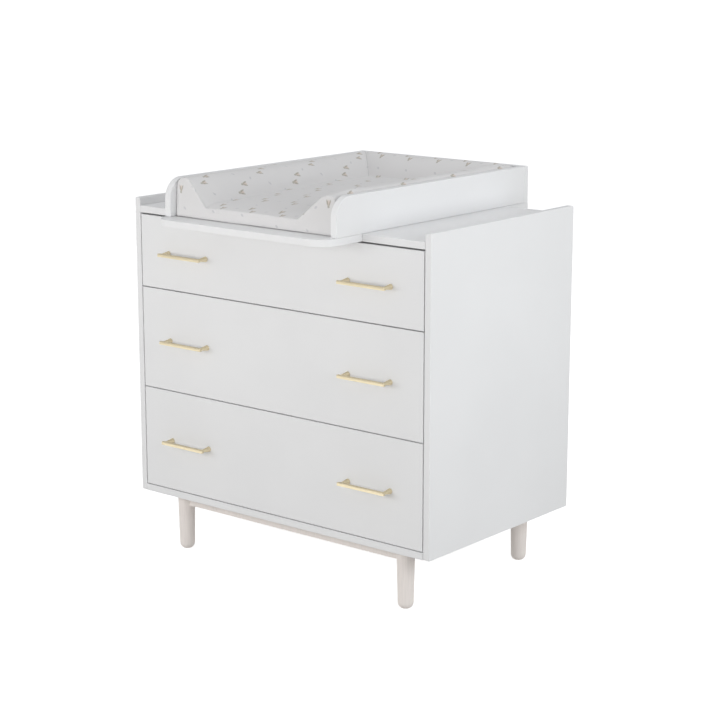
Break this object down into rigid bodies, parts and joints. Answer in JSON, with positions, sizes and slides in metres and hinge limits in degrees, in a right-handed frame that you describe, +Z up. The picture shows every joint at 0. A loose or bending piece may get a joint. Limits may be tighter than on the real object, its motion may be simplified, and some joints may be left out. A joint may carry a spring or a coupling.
{
  "type": "changing table",
  "caption": "Drawer cabinet on round legs with a lift-off changer tray and a wedge changing mat; the drawers slide out on side runners.",
  "frame": {"origin": "middle of the footprint's bounding box, on the floor that the legs stand on", "axes": "+X to the right as seen from the front, +Y from the drawer fronts to the rear, +Z up"},
  "size_m": [0.96, 0.818, 1.0223],
  "materials": {
    "white_lacquer": "white matte lacquer on board, softened edges",
    "leg_lacquer": "warm white matte lacquer on turned wood",
    "white_foil": "white foil on thin board",
    "brushed_gold": "pale brushed gold",
    "zinc_steel": "bright zinc-plated sheet",
    "printed_cotton": "white cotton with small tan and grey sprigs over foam"
  },
  "bodies": {
    "cabinet": {"back_panel": "white_foil", "bottom_board": "white_lacquer", "drawer_bottom_cabinet_runner_left": "zinc_steel", "drawer_bottom_cabinet_runner_right": "zinc_steel", "drawer_middle_cabinet_runner_left": "zinc_steel", "drawer_middle_cabinet_runner_right": "zinc_steel", "drawer_top_cabinet_runner_left": "zinc_steel", "drawer_top_cabinet_runner_right": "zinc_steel", "leg_bolt_front_left": "zinc_steel", "leg_bolt_front_right": "zinc_steel", "leg_bolt_rear_left": "zinc_steel", "leg_bolt_rear_right": "zinc_steel", "leg_front_left": "leg_lacquer", "leg_front_right": "leg_lacquer", "leg_rear_left": "leg_lacquer", "leg_rear_right": "leg_lacquer", "rail_front": "leg_lacquer", "rail_left": "leg_lacquer", "rail_rear": "leg_lacquer", "rail_right": "leg_lacquer", "side_panel_left": "white_lacquer", "side_panel_right": "white_lacquer", "top_board": "white_lacquer"},
    "drawer_top": {"drawer_top_back": "white_foil", "drawer_top_bottom": "white_foil", "drawer_top_drawer_runner_left": "zinc_steel", "drawer_top_drawer_runner_right": "zinc_steel", "drawer_top_front": "white_lacquer", "drawer_top_handle_left": "brushed_gold", "drawer_top_handle_right": "brushed_gold", "drawer_top_side_left": "white_foil", "drawer_top_side_right": "white_foil"},
    "drawer_middle": {"drawer_middle_back": "white_foil", "drawer_middle_bottom": "white_foil", "drawer_middle_drawer_runner_left": "zinc_steel", "drawer_middle_drawer_runner_right": "zinc_steel", "drawer_middle_front": "white_lacquer", "drawer_middle_handle_left": "brushed_gold", "drawer_middle_handle_right": "brushed_gold", "drawer_middle_side_left": "white_foil", "drawer_middle_side_right": "white_foil"},
    "drawer_bottom": {"drawer_bottom_back": "white_foil", "drawer_bottom_bottom": "white_foil", "drawer_bottom_drawer_runner_left": "zinc_steel", "drawer_bottom_drawer_runner_right": "zinc_steel", "drawer_bottom_front": "white_lacquer", "drawer_bottom_handle_left": "brushed_gold", "drawer_bottom_handle_right": "brushed_gold", "drawer_bottom_side_left": "white_foil", "drawer_bottom_side_right": "white_foil"},
    "changer": {"changer_back": "white_lacquer", "changer_front_shelf": "white_lacquer", "changer_rear_shelf": "white_lacquer", "changer_side_left": "white_lacquer", "changer_side_right": "white_lacquer"},
    "changing_mat": {"changing_mat": "printed_cotton"}
  },
  "joints": [
    {"name": "drawer_top_slide", "type": "slide", "parent": "cabinet", "child": "drawer_top", "axis": [0, -1, 0], "range_m": [0, 0.38]},
    {"name": "drawer_middle_slide", "type": "slide", "parent": "cabinet", "child": "drawer_middle", "axis": [0, -1, 0], "range_m": [0, 0.38]},
    {"name": "drawer_bottom_slide", "type": "slide", "parent": "cabinet", "child": "drawer_bottom", "axis": [0, -1, 0], "range_m": [0, 0.38]},
    {"name": "changer_lift", "type": "slide", "parent": "cabinet", "child": "changer", "axis": [0, 0, 1], "range_m": [0, 0.1]},
    {"name": "mat_lift", "type": "slide", "parent": "changer", "child": "changing_mat", "axis": [0, 0, 1], "range_m": [0, 0.12]}
  ]
}
